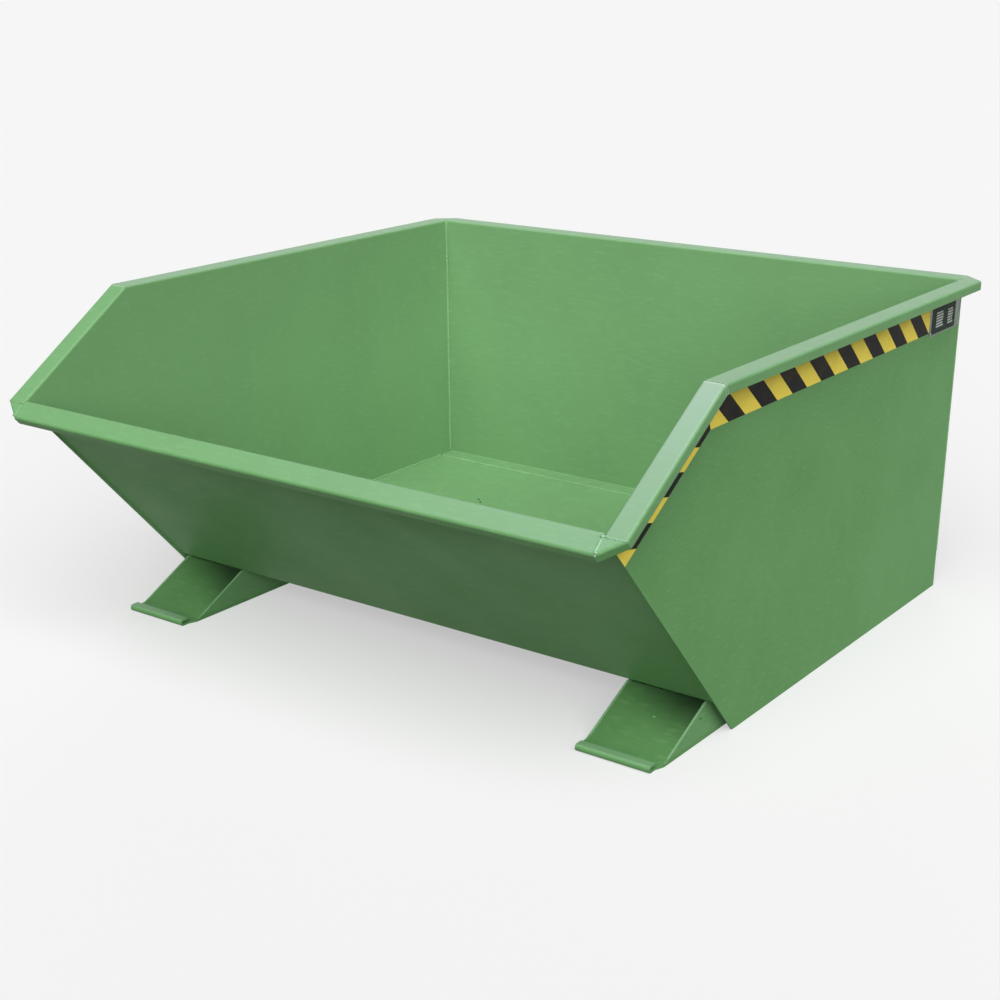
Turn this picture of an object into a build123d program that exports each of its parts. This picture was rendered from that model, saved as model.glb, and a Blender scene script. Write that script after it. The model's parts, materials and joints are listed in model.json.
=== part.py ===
from build123d import *
from math import cos, hypot, radians, sin, tan
import os

# Tipping hopper: a folded sheet-steel bucket on two fork pockets, hinged at the pockets' front noses.
# Millimetres. +Z is up and the bucket tips towards -Y. While it is built, Y is 0 on the rear wall's
# outer face; at the end everything moves so that the origin is under the middle of the whole object.
# "Ahead" is a distance from the rear wall towards the front.

# Bucket
BODY_WIDTH = 1200.0
BODY_HEIGHT = 598.0
SHEET = 3.0
FLOOR_CLEARANCE = 64.0
SKIRT_LENGTH = 798.3
FRONT_SLOPE = 48.6
RIM_FALL_START = 932.4
RIM_FALL = 32.9
WALL_INSET = 4.0
RIM_REACH = 35.4
RIM_LIP = 17.0
RIM_LEG = 10.0
FOLD_RADIUS = 2.0
FLOOR_FOLD_RADIUS = 3.0
REAR_LAP = 36.0

# Hazard tape and data plate
TAPE_WIDTH = 50.0
TAPE_DROP = 27.0
TAPE_SLOPE_DROP = 27.0
TAPE_START = 138.0
TAPE_THICKNESS = 0.4
DATA_PLATE_LENGTH = 131.5
DATA_PLATE_HEIGHT = 65.0
DATA_PLATE_THICKNESS = 0.8
DATA_PLATE_DROP = 19.0
DATA_PLATE_START = 6.0
RIVET_RADIUS = 2.5
RIVET_INSET = 5.0

# Fork pockets
SKIRT_GAP = 16.0
POCKET_WIDTH = 148.0
POCKET_REAR = 4.0
PLATE = 4.0
NOSE_SLOPE = 26.5
NOSE_BLUNT = 3.0
CHEEK_GAP = 1.5
CHEEK_PROUD = 1.5
POCKET_TOP_DROP = 6.0
FOOT_LIP_AHEAD = 31.7
FOOT_LIP_HEIGHT = 12.0
FOOT_LIP_RADIUS = 5.0
FOOT_LIP_RETURN = 18.0
FOOT_LIP_INSET = 6.0
FOOT_TAPER = 16.0
FOOT_PLATE_LENGTH = 220.0
REAR_STRAP_LENGTH = 70.0
CHEEK_HOLE_RADIUS = 4.5
CHEEK_HOLE_AHEAD_OF_FOLD = 18.9
CHEEK_HOLE_DROP = 25.6

# Rest pads and cross tubes
PAD_LENGTH = 110.0
PAD_WIDTH = 60.0
PAD_START = 50.0
PAD_GAP = 0.3
TUBE_LENGTH_Y = 60.0
TUBE_GROUND_GAP = 12.0
TUBE_FLOOR_GAP = 12.0
TUBE_WALL = 3.0
REAR_TUBE_START = 6.0
FRONT_TUBE_BEHIND_FOLD = 152.0

# Floor stiffeners
STIFFENER_WIDTH = 50.0
STIFFENER_HEIGHT = 30.0
STIFFENER_SIDE_GAP = 12.0
STIFFENER_PLACES = ("rear", "front")

# Tipping hinge
HINGE_AHEAD_OF_FOLD = 3.0
HINGE_PLATE_GAP = 1.5
HINGE_PIN_RADIUS = 6.0
KNUCKLE_RADIUS = 9.0
KNUCKLE_GAP = 1.0
HINGE_RUN = 0.08
HINGE_SEAT = 0.04
LUG_WIDTH = 40.0
LUG_THROAT_BACK = 17.5
LUG_THROAT_RISE = 5.0
LUG_NECK_BACK = 23.5
LUG_NECK_RISE = 8.5
LUG_HEEL_BACK = 36.0
LUG_SEAT_BACK = 27.0
LUG_SEAT = 23.0
SLOT_END_GAP = 4.0

# Latch
LATCH_REACH = 100.0
LATCH_PLATE = 10.0
LATCH_WALL_GAP = 6.0
LATCH_ARM_HALF = 13.0
LATCH_BOSS_RADIUS = 17.0
LATCH_HEAD_LENGTH = 46.0
LATCH_HEAD_ABOVE = 20.0
LATCH_GROUND_GAP = 8.0
LATCH_MOUTH_INNER = 4.0
LATCH_MOUTH_RUN = 1.0
LATCH_HANDLE_LENGTH = 104.0
LATCH_HANDLE_HALF = 9.0
GRIP_LENGTH = 84.0
GRIP_WIDTH = 26.0
GRIP_THICKNESS = 16.0
GRIP_END = 3.0
GRIP_SEAT = 0.05
BRACKET_THICKNESS = 6.0
BRACKET_UNDER_PEG = 3.0
BRACKET_ABOVE_TUBE = 4.0
BRACKET_BEFORE_BOLT = 35.0
BRACKET_PAST_PEG = 22.5
BOLT_RADIUS = 6.0
BOLT_RUN = 0.08
BOLT_HEAD_FLATS = 19.0
BOLT_HEAD_LENGTH = 8.0
NUT_LENGTH = 10.0
BOLT_WASHER_RADIUS = 12.0
BOLT_WASHER = 2.5
BOLT_WASHER_GAP = 0.2
STOP_PEG_RADIUS = 5.0
STOP_PEG_REACH = 60.0
STOP_PEG_GAP = 0.3
STOP_PEG_SEAT = 0.04
CATCH_RADIUS = 8.0
CATCH_LENGTH = 20.0
CATCH_PLATE_SIDE = 70.0
CATCH_PLATE_THICKNESS = 4.0

# Worked-out places
OUTER_X = BODY_WIDTH / 2
INNER_X = OUTER_X - SHEET
FLOOR_TOP = FLOOR_CLEARANCE + SHEET
SLOPE = radians(FRONT_SLOPE)
FALL = radians(RIM_FALL)
NOSE = radians(NOSE_SLOPE)
WALL_START = SKIRT_LENGTH - WALL_INSET / sin(SLOPE)
FOLD_AHEAD = WALL_START + FLOOR_CLEARANCE / tan(SLOPE)
NOSE_TIP = FOLD_AHEAD + FLOOR_CLEARANCE / tan(NOSE)
CHEEK_TOP = FLOOR_CLEARANCE - CHEEK_GAP
POCKET_TOP = CHEEK_TOP - POCKET_TOP_DROP
POCKET_OUTER = INNER_X - SKIRT_GAP
POCKET_INNER = POCKET_OUTER - POCKET_WIDTH
POCKET_CENTRE = (POCKET_OUTER + POCKET_INNER) / 2
FOOT_FRONT = NOSE_TIP + FOOT_LIP_AHEAD
HINGE_AHEAD = FOLD_AHEAD + HINGE_AHEAD_OF_FOLD
HINGE_Z = POCKET_TOP - PLATE - HINGE_PLATE_GAP - KNUCKLE_RADIUS
SLOT_HALF = LUG_WIDTH / 2 + KNUCKLE_GAP
SLOT_BACK = HINGE_AHEAD - LUG_SEAT_BACK - LUG_SEAT - SLOT_END_GAP
TUBE_TOP = FLOOR_CLEARANCE - TUBE_FLOOR_GAP
REAR_TUBE_END = REAR_TUBE_START + TUBE_LENGTH_Y
FRONT_TUBE_START = FOLD_AHEAD - FRONT_TUBE_BEHIND_FOLD - TUBE_LENGTH_Y
LATCH_HEIGHT = (TUBE_GROUND_GAP + TUBE_TOP) / 2


def flat(points):
    """Closed flat face through points (ahead, height), upright in the middle plane."""
    return Plane.YZ * make_face(Polyline(*[(-ahead, height) for ahead, height in points], close=True))


def across(face, x0, x1):
    """Solid from an upright face, running across the object from x0 to x1."""
    return Pos(x0, 0, 0) * extrude(face, amount=x1 - x0)


def folded(points, radii, side):
    """Section of a folded sheet, from the path of one of its faces."""
    return make_face(offset(FilletPolyline(*points, radius=radii), amount=SHEET, side=side))


def block(x0, x1, ahead0, ahead1, z0, z1):
    """Square block between two places across, ahead and up."""
    size = Box(x1 - x0, ahead1 - ahead0, z1 - z0)
    return Pos((x0 + x1) / 2, -(ahead0 + ahead1) / 2, (z0 + z1) / 2) * size


def rod_across(radius, x0, x1, ahead, z):
    """Round rod along X."""
    end_plane = Plane((x0, -ahead, z), x_dir=(0, 1, 0), z_dir=(1, 0, 0))
    return extrude(end_plane * Circle(radius), amount=x1 - x0)


def rod_along(radius, x, y0, y1, z):
    """Round rod along Y."""
    end_plane = Plane((x, y0, z), x_dir=(1, 0, 0), z_dir=(0, 1, 0))
    return extrude(end_plane * Circle(radius), amount=y1 - y0)


def hex_along(flats, x, y0, y1, z):
    """Hexagon bar along Y, for a bolt head or a nut."""
    section = RegularPolygon(flats / 2, 6, major_radius=False)
    end_plane = Plane((x, y0, z), x_dir=(1, 0, 0), z_dir=(0, 1, 0))
    return extrude(end_plane * section, amount=y1 - y0)


def mirrored(solid):
    """The same piece on the other side of the middle plane."""
    return mirror(solid, about=Plane.YZ)


def rim_corner(drop):
    """Where the rim turns down, for a line that runs a given distance under the rim."""
    return RIM_FALL_START - drop * tan(FALL / 2), BODY_HEIGHT - drop


def front_corner(drop):
    """Where the falling rim meets the sloping front, for a line a given distance under the rim."""
    start_height = BODY_HEIGHT - drop / cos(FALL)
    height = start_height + (RIM_FALL_START - SKIRT_LENGTH) * tan(FALL)
    height = height / (1 + tan(FALL) / tan(SLOPE))
    return SKIRT_LENGTH + height / tan(SLOPE), height


def nose_height(ahead, below):
    """Height of the line a given distance under the cheeks' sloping edge."""
    return (NOSE_TIP - ahead) * tan(NOSE) - below / cos(NOSE)


def nose_ahead(height, below):
    """Place ahead where the line under the cheeks' sloping edge has a given height."""
    return NOSE_TIP - (height + below / cos(NOSE)) / tan(NOSE)


def make_trough():
    """Floor, sloping front wall, front rim and its lip, folded from one sheet."""
    up = Vector(-cos(SLOPE), sin(SLOPE))
    out = Vector(-sin(SLOPE), -cos(SLOPE))
    rim_slant = front_corner(0)[1] / sin(SLOPE)
    foot = Vector(-SKIRT_LENGTH, 0) - out * WALL_INSET
    rim_root = foot + up * (rim_slant - SHEET)
    rim_edge = rim_root + out * (RIM_REACH - SHEET)
    lip_end = rim_edge - up * (RIM_LIP - SHEET)
    points = [(0, FLOOR_CLEARANCE), (-FOLD_AHEAD, FLOOR_CLEARANCE)]
    points += [(point.X, point.Y) for point in (rim_root, rim_edge, lip_end)]
    section = folded(points, [FLOOR_FOLD_RADIUS + SHEET, FOLD_RADIUS, FOLD_RADIUS], Side.RIGHT)
    return across(Plane.YZ * section, -INNER_X, INNER_X)


def make_rear_wall():
    """Upright wall with a lap on the floor, and the rear rim and its lip."""
    reach = RIM_REACH - SHEET
    points = [(-REAR_LAP, FLOOR_TOP), (0, FLOOR_TOP), (0, BODY_HEIGHT - SHEET)]
    points += [(reach, BODY_HEIGHT - SHEET), (reach, BODY_HEIGHT - RIM_LIP)]
    section = folded(points, [FOLD_RADIUS + SHEET, FOLD_RADIUS, FOLD_RADIUS], Side.LEFT)
    return across(Plane.YZ * section, -INNER_X, INNER_X)


def make_side_panel():
    """Right side sheet: the plate with its skirt, and the level and falling rims mitred together."""
    reach = RIM_REACH - SHEET
    points = [(0, -RIM_LEG), (0, -SHEET), (reach, -SHEET), (reach, -RIM_LIP)]
    section = folded(points, [FOLD_RADIUS, FOLD_RADIUS], Side.LEFT)
    turn = Vector(OUTER_X, -RIM_FALL_START, BODY_HEIGHT)
    level = Vector(0, -1, 0)
    falling = Vector(0, -cos(FALL), -sin(FALL))
    mitre = Plane(turn, x_dir=(1, 0, 0), z_dir=level + falling)
    level_plane = Plane((OUTER_X, 0, BODY_HEIGHT), x_dir=(1, 0, 0), z_dir=level)
    level_rim = extrude(level_plane * section, amount=RIM_FALL_START)
    level_rim = split(level_rim, bisect_by=mitre, keep=Keep.BOTTOM)
    front_ahead, front_height = front_corner(0)
    fall_length = hypot(front_ahead - RIM_FALL_START, BODY_HEIGHT - front_height)
    falling_plane = Plane(turn - falling * RIM_LIP, x_dir=(1, 0, 0), z_dir=falling)
    falling_rim = extrude(falling_plane * section, amount=fall_length + RIM_LIP)
    falling_rim = split(falling_rim, bisect_by=mitre, keep=Keep.TOP)
    front_face = Plane((0, -SKIRT_LENGTH, 0), x_dir=(1, 0, 0), z_dir=(0, -sin(SLOPE), -cos(SLOPE)))
    falling_rim = split(falling_rim, bisect_by=front_face, keep=Keep.BOTTOM)
    outline = [(0, 0), (0, BODY_HEIGHT - RIM_LEG), rim_corner(RIM_LEG)]
    outline += [front_corner(RIM_LEG), (SKIRT_LENGTH, 0)]
    plate = across(flat(outline), INNER_X, OUTER_X)
    return plate + level_rim + falling_rim


def make_rim_corner(plane, reach_x, reach_y):
    """Three-sided corner piece of the rim with a lip on its long edge, in the plane of the rim's top."""
    long_edge = hypot(reach_x, reach_y)
    shrink = 1 - SHEET * long_edge / abs(reach_x * reach_y)
    outer = make_face(Polyline((0, 0), (reach_x, 0), (0, reach_y), close=True))
    inner = make_face(Polyline((0, 0), (reach_x * shrink, 0), (0, reach_y * shrink), close=True))
    solid = extrude(plane * outer, amount=-RIM_LIP)
    hollow = extrude(plane.offset(-SHEET) * inner, amount=-RIM_LIP)
    corner = solid - hollow
    middle = plane.from_local_coords((reach_x / 2, reach_y / 2, 0))
    ridge = corner.edges().sort_by_distance(middle)[0]
    return fillet(ridge, FOLD_RADIUS + SHEET)


def make_tapes():
    """Right hazard tapes, on the side sheet under the level and the falling rim."""
    low = TAPE_DROP + TAPE_WIDTH
    level = [(TAPE_START, BODY_HEIGHT - TAPE_DROP), rim_corner(TAPE_DROP), rim_corner(low)]
    level.append((TAPE_START, BODY_HEIGHT - low))
    high, low = TAPE_SLOPE_DROP, TAPE_SLOPE_DROP + TAPE_WIDTH
    falling = [rim_corner(high), front_corner(high), front_corner(low), rim_corner(low)]
    outside = OUTER_X + TAPE_THICKNESS
    return across(flat(level), OUTER_X, outside), across(flat(falling), OUTER_X, outside)


def make_data_plate():
    """Small plate on the right side sheet, and its four rivets."""
    top = BODY_HEIGHT - DATA_PLATE_DROP
    low = top - DATA_PLATE_HEIGHT
    end = DATA_PLATE_START + DATA_PLATE_LENGTH
    outside = OUTER_X + DATA_PLATE_THICKNESS
    plate = block(OUTER_X, outside, DATA_PLATE_START, end, low, top)
    rivets = []
    for ahead in (DATA_PLATE_START + RIVET_INSET, end - RIVET_INSET):
        for height in (low + RIVET_INSET, top - RIVET_INSET):
            ball = Pos(outside, -ahead, height) * Sphere(RIVET_RADIUS)
            rivets.append(split(ball, bisect_by=Plane((outside, 0, 0), z_dir=(1, 0, 0)), keep=Keep.TOP))
    return plate, rivets


def make_stiffener(ahead):
    """Channel under the floor, with its open side closed by the floor."""
    half = POCKET_INNER - STIFFENER_SIDE_GAP
    low = FLOOR_CLEARANCE - STIFFENER_HEIGHT
    outer = block(-half, half, ahead, ahead + STIFFENER_WIDTH, low, FLOOR_CLEARANCE)
    end = ahead + STIFFENER_WIDTH - SHEET
    return outer - block(-half, half, ahead + SHEET, end, low + SHEET, FLOOR_CLEARANCE)


def hinge_rod(radius, x0, x1):
    """Round rod on the tipping axis."""
    return rod_across(radius, x0, x1, HINGE_AHEAD, HINGE_Z)


def make_lug():
    """Right hinge lug: the middle knuckle and a neck that goes round the ramp's upper end to the floor."""
    top = HINGE_Z + KNUCKLE_RADIUS
    low = HINGE_Z - KNUCKLE_RADIUS
    seat = HINGE_AHEAD - LUG_SEAT_BACK
    outline = [(HINGE_AHEAD, top), (HINGE_AHEAD - LUG_THROAT_BACK, HINGE_Z + LUG_THROAT_RISE)]
    outline += [(HINGE_AHEAD - LUG_NECK_BACK, HINGE_Z + LUG_NECK_RISE), (seat, FLOOR_CLEARANCE)]
    outline += [(seat - LUG_SEAT, FLOOR_CLEARANCE), (HINGE_AHEAD - LUG_HEEL_BACK, low), (HINGE_AHEAD, low)]
    x0 = POCKET_CENTRE - LUG_WIDTH / 2
    x1 = POCKET_CENTRE + LUG_WIDTH / 2
    lug = across(flat(outline), x0, x1) + hinge_rod(KNUCKLE_RADIUS, x0, x1)
    return lug - hinge_rod(HINGE_PIN_RADIUS + HINGE_RUN, x0, x1)


def make_hinge_base():
    """Right pocket's two fixed knuckles, either side of the lug, and the pin through all three."""
    ends = (POCKET_INNER + PLATE, POCKET_OUTER - PLATE)
    inner = (POCKET_CENTRE - SLOT_HALF, POCKET_CENTRE + SLOT_HALF)
    knuckles = []
    for x0, x1 in ((ends[0], inner[0]), (inner[1], ends[1])):
        tube = hinge_rod(KNUCKLE_RADIUS, x0, x1)
        knuckles.append(tube - hinge_rod(HINGE_PIN_RADIUS + HINGE_SEAT, x0, x1))
    return knuckles, hinge_rod(HINGE_PIN_RADIUS, *ends)


def make_cheek(x0, x1):
    """Upright side plate of a fork pocket, with its sloping front edge."""
    blunt = nose_ahead(NOSE_BLUNT, 0)
    outline = [(POCKET_REAR, 0), (POCKET_REAR, CHEEK_TOP), (nose_ahead(CHEEK_TOP, 0), CHEEK_TOP)]
    outline += [(blunt, NOSE_BLUNT), (blunt, 0)]
    return across(flat(outline), x0, x1)


def make_pocket_plates():
    """Right pocket's top plate, slotted for the hinge lug, and the ramp whose underside it ends on."""
    x0 = POCKET_INNER + PLATE
    x1 = POCKET_OUTER - PLATE
    under = CHEEK_PROUD + PLATE
    low = POCKET_TOP - PLATE
    outline = [(POCKET_REAR, low), (POCKET_REAR, POCKET_TOP), (nose_ahead(POCKET_TOP, under), POCKET_TOP)]
    outline.append((nose_ahead(low, under), low))
    slot = block(POCKET_CENTRE - SLOT_HALF, POCKET_CENTRE + SLOT_HALF, SLOT_BACK, NOSE_TIP, low, POCKET_TOP)
    top = across(flat(outline), x0, x1) - slot
    outline = [(FOLD_AHEAD, nose_height(FOLD_AHEAD, CHEEK_PROUD))]
    outline += [(nose_ahead(PLATE, CHEEK_PROUD), PLATE), (nose_ahead(PLATE, under), PLATE)]
    outline.append((FOLD_AHEAD, nose_height(FOLD_AHEAD, under)))
    return top, across(flat(outline), x0, x1)


def make_foot_plate():
    """Right foot plate with its rolled front lip, cut to stand between the cheeks and tapered to the lip."""
    back = FOOT_FRONT - FOOT_PLATE_LENGTH
    path = [(-back, 0), (-FOOT_FRONT, 0), (-FOOT_FRONT, FOOT_LIP_HEIGHT)]
    path.append((-FOOT_FRONT + FOOT_LIP_RETURN, FOOT_LIP_HEIGHT))
    rolled = FilletPolyline(*path, radius=FOOT_LIP_RADIUS)
    section = make_face(offset(rolled, amount=PLATE, side=Side.RIGHT))
    plate = across(Plane.YZ * section, POCKET_INNER, POCKET_OUTER)
    cheek_end = nose_ahead(NOSE_BLUNT, 0)
    lip_back = FOOT_FRONT - FOOT_LIP_RETURN
    for x, inside in ((POCKET_INNER, 1), (POCKET_OUTER, -1)):
        lip_x = x + inside * FOOT_LIP_INSET
        corners = [(x, FOOT_TAPER - lip_back), (lip_x, -lip_back), (lip_x, -FOOT_FRONT), (x, -FOOT_FRONT)]
        cut = Polyline(*corners, close=True)
        plate -= extrude(make_face(cut), amount=FOOT_LIP_HEIGHT, dir=(0, 0, 1))
        cheek_x = x + inside * PLATE
        plate -= block(min(x, cheek_x), max(x, cheek_x), back, cheek_end, 0, PLATE)
    return plate


def make_cross_tube(ahead):
    """Square-cornered tube between the two inner cheeks."""
    end = ahead + TUBE_LENGTH_Y
    outer = block(-POCKET_INNER, POCKET_INNER, ahead, end, TUBE_GROUND_GAP, TUBE_TOP)
    low = TUBE_GROUND_GAP + TUBE_WALL
    high = TUBE_TOP - TUBE_WALL
    return outer - block(-POCKET_INNER, POCKET_INNER, ahead + TUBE_WALL, end - TUBE_WALL, low, high)


def make_latch_base(rear_tube):
    """Bracket on the rear cross tube with the latch's bolt, spacer, washer, nut and stop peg."""
    bracket_face = BRACKET_THICKNESS - REAR_TUBE_START
    hook_face = LATCH_WALL_GAP + LATCH_PLATE
    washer_face = hook_face + BOLT_WASHER_GAP
    head_face = washer_face + BOLT_WASHER
    nut_face = -REAR_TUBE_START - TUBE_WALL
    peg_height = LATCH_HEIGHT - LATCH_ARM_HALF - STOP_PEG_GAP - STOP_PEG_RADIUS
    bolt = rod_along(BOLT_RADIUS, 0, nut_face - NUT_LENGTH, head_face, LATCH_HEIGHT)
    bolt += hex_along(BOLT_HEAD_FLATS, 0, head_face, head_face + BOLT_HEAD_LENGTH, LATCH_HEIGHT)
    bore = rod_along(BOLT_RADIUS + BOLT_RUN, 0, nut_face - NUT_LENGTH, head_face, LATCH_HEIGHT)
    peg = rod_along(STOP_PEG_RADIUS, STOP_PEG_REACH, -REAR_TUBE_START, hook_face, peg_height)
    peg_seat = STOP_PEG_RADIUS + STOP_PEG_SEAT
    peg_hole = rod_along(peg_seat, STOP_PEG_REACH, -REAR_TUBE_START, bracket_face, peg_height)
    right = STOP_PEG_REACH + BRACKET_PAST_PEG
    low = peg_height - STOP_PEG_RADIUS - BRACKET_UNDER_PEG
    high = TUBE_TOP + BRACKET_ABOVE_TUBE
    bracket = block(-BRACKET_BEFORE_BOLT, right, -bracket_face, REAR_TUBE_START, low, high)
    spacer_end = LATCH_WALL_GAP - BOLT_WASHER_GAP
    spacer = rod_along(BOLT_WASHER_RADIUS, 0, bracket_face, spacer_end, LATCH_HEIGHT) - bore
    washer = rod_along(BOLT_WASHER_RADIUS, 0, washer_face, head_face, LATCH_HEIGHT) - bore
    nut = hex_along(BOLT_HEAD_FLATS, 0, nut_face - NUT_LENGTH, nut_face, LATCH_HEIGHT) - bore
    return {
        "rear_cross_tube": rear_tube - bore,
        "latch_bracket": bracket - bore - peg_hole,
        "latch_bolt": bolt,
        "latch_spacer": spacer,
        "latch_bolt_washer": washer,
        "latch_nut": nut,
        "latch_stop_peg": peg,
    }


def make_latch():
    """Swing hook, lying open along +X, and the grip on its handle."""
    face = LATCH_WALL_GAP + LATCH_PLATE
    mid = LATCH_HEIGHT
    head0 = LATCH_REACH - LATCH_HEAD_LENGTH / 2
    head1 = LATCH_REACH + LATCH_HEAD_LENGTH / 2
    handle_end = head1 + LATCH_HANDLE_LENGTH
    hook = rod_along(LATCH_BOSS_RADIUS, 0, LATCH_WALL_GAP, face, mid)
    near = -LATCH_WALL_GAP
    head_top = mid + LATCH_HEAD_ABOVE
    hook += block(0, head0, -face, near, mid - LATCH_ARM_HALF, mid + LATCH_ARM_HALF)
    hook += block(head0, head1, -face, near, LATCH_GROUND_GAP, head_top)
    hook += block(head1, handle_end, -face, near, mid - LATCH_HANDLE_HALF, mid + LATCH_HANDLE_HALF)
    mouth0 = LATCH_REACH - CATCH_RADIUS - LATCH_MOUTH_INNER
    mouth1 = LATCH_REACH + CATCH_RADIUS + LATCH_MOUTH_RUN
    mouth_floor = mid - CATCH_RADIUS - LATCH_MOUTH_RUN
    hook -= block(mouth0, mouth1, -face, near, mouth_floor, head_top)
    hook -= rod_along(BOLT_RADIUS + BOLT_RUN, 0, LATCH_WALL_GAP, face, mid)
    grip_face = LATCH_WALL_GAP + (LATCH_PLATE - GRIP_THICKNESS) / 2
    grip_end = handle_end + GRIP_END
    grip_start = grip_end - GRIP_LENGTH
    outer = GRIP_WIDTH / 2
    grip = block(grip_start, grip_end, -grip_face - GRIP_THICKNESS, -grip_face, mid - outer, mid + outer)
    grip = fillet(grip.edges().filter_by(Axis.X), GRIP_THICKNESS / 2 - GRIP_END)
    half = LATCH_HANDLE_HALF + GRIP_SEAT
    grip -= block(grip_start, handle_end, -face - GRIP_SEAT, near + GRIP_SEAT, mid - half, mid + half)
    return hook, grip


def make_bucket():
    """Every piece that tips."""
    panel = make_side_panel()
    front_ahead, front_height = front_corner(0)
    front_point = (INNER_X, -front_ahead, front_height)
    front_plane = Plane(front_point, x_dir=(1, 0, 0), z_dir=(0, -cos(SLOPE), sin(SLOPE)))
    front_corner_piece = make_rim_corner(front_plane, RIM_REACH + SHEET, WALL_INSET - RIM_REACH)
    rear_plane = Plane((INNER_X, 0, BODY_HEIGHT))
    rear_corner_piece = make_rim_corner(rear_plane, RIM_REACH + SHEET, RIM_REACH)
    level_tape, falling_tape = make_tapes()
    plate, rivets = make_data_plate()
    lug = make_lug()
    catch_height = LATCH_HEIGHT + LATCH_REACH
    half = CATCH_PLATE_SIDE / 2
    catch_plate = block(-half, half, -CATCH_PLATE_THICKNESS, 0, catch_height - half, catch_height + half)
    catch_end = CATCH_PLATE_THICKNESS + CATCH_LENGTH
    pieces = {
        "trough_sheet": make_trough(),
        "rear_wall": make_rear_wall(),
        "left_side_panel": mirrored(panel),
        "right_side_panel": panel,
        "front_rim_corner_left": mirrored(front_corner_piece),
        "front_rim_corner_right": front_corner_piece,
        "rear_rim_corner_left": mirrored(rear_corner_piece),
        "rear_rim_corner_right": rear_corner_piece,
        "hazard_tape_left_top": mirrored(level_tape),
        "hazard_tape_left_slope": mirrored(falling_tape),
        "hazard_tape_right_top": level_tape,
        "hazard_tape_right_slope": falling_tape,
        "data_plate": plate,
        "data_plate_rivets": Compound(rivets),
        "hinge_lug_left": mirrored(lug),
        "hinge_lug_right": lug,
        "catch_plate": catch_plate,
        "catch_pin": rod_along(CATCH_RADIUS, 0, CATCH_PLATE_THICKNESS, catch_end, catch_height),
    }
    count = len(STIFFENER_PLACES)
    space = (FRONT_TUBE_START - REAR_TUBE_END - count * STIFFENER_WIDTH) / (count + 1)
    for index, place in enumerate(STIFFENER_PLACES):
        ahead = REAR_TUBE_END + space + index * (space + STIFFENER_WIDTH)
        pieces[f"floor_stiffener_{place}"] = make_stiffener(ahead)
    return pieces


def make_base():
    """Every piece that stands still: the two fork pockets, their ties and the hinge pins."""
    top, ramp = make_pocket_plates()
    knuckles, pin = make_hinge_base()
    hole_ahead = FOLD_AHEAD + CHEEK_HOLE_AHEAD_OF_FOLD
    hole_z = FLOOR_CLEARANCE - CHEEK_HOLE_DROP
    cheek_hole = rod_across(CHEEK_HOLE_RADIUS, POCKET_OUTER - PLATE, POCKET_OUTER, hole_ahead, hole_z)
    strap_x0 = POCKET_INNER + PLATE
    strap_x1 = POCKET_OUTER - PLATE
    strap_end = POCKET_REAR + REAR_STRAP_LENGTH
    pad_x = POCKET_CENTRE - PAD_WIDTH / 2
    pad_end = PAD_START + PAD_LENGTH
    pad_top = FLOOR_CLEARANCE - PAD_GAP
    right = {
        "outer_cheek": make_cheek(POCKET_OUTER - PLATE, POCKET_OUTER) - cheek_hole,
        "inner_cheek": make_cheek(POCKET_INNER, POCKET_INNER + PLATE),
        "pocket_top": top,
        "ramp_plate": ramp,
        "foot_plate": make_foot_plate(),
        "rear_strap": block(strap_x0, strap_x1, POCKET_REAR, strap_end, 0, PLATE),
        "hinge_pin": pin,
        "rest_pad": block(pad_x, pad_x + PAD_WIDTH, PAD_START, pad_end, POCKET_TOP, pad_top),
    }
    pieces = {f"{name}_right": solid for name, solid in right.items()}
    pieces.update({f"{name}_left": mirrored(solid) for name, solid in right.items()})
    pieces["hinge_knuckles_right"] = Compound(knuckles)
    pieces["hinge_knuckles_left"] = Compound([mirrored(knuckle) for knuckle in knuckles])
    pieces["front_cross_tube"] = make_cross_tube(FRONT_TUBE_START)
    pieces.update(make_latch_base(make_cross_tube(REAR_TUBE_START)))
    return pieces


def main():
    """Build every piece, set the origin under the middle and write one file for each node."""
    pieces = {**make_bucket(), **make_base()}
    pieces["latch_hook"], pieces["latch_grip"] = make_latch()
    box = Compound(list(pieces.values())).bounding_box()
    to_middle = Pos(0, -(box.min.Y + box.max.Y) / 2, 0)
    os.makedirs("parts", exist_ok=True)
    for name, piece in pieces.items():
        export_step(to_middle * piece, f"parts/{name}.step")


main()
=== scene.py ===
"""Looks of a sheet-steel tipping hopper: enamel, tape, data plate, welds and a plain studio."""

import json
import logging
import random
from dataclasses import dataclass, field
from enum import Enum
from itertools import product
from math import copysign, cos, pi, radians, sin, sqrt, tan, tau
from typing import Any

import bpy
from mathutils import Matrix, Vector

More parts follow.
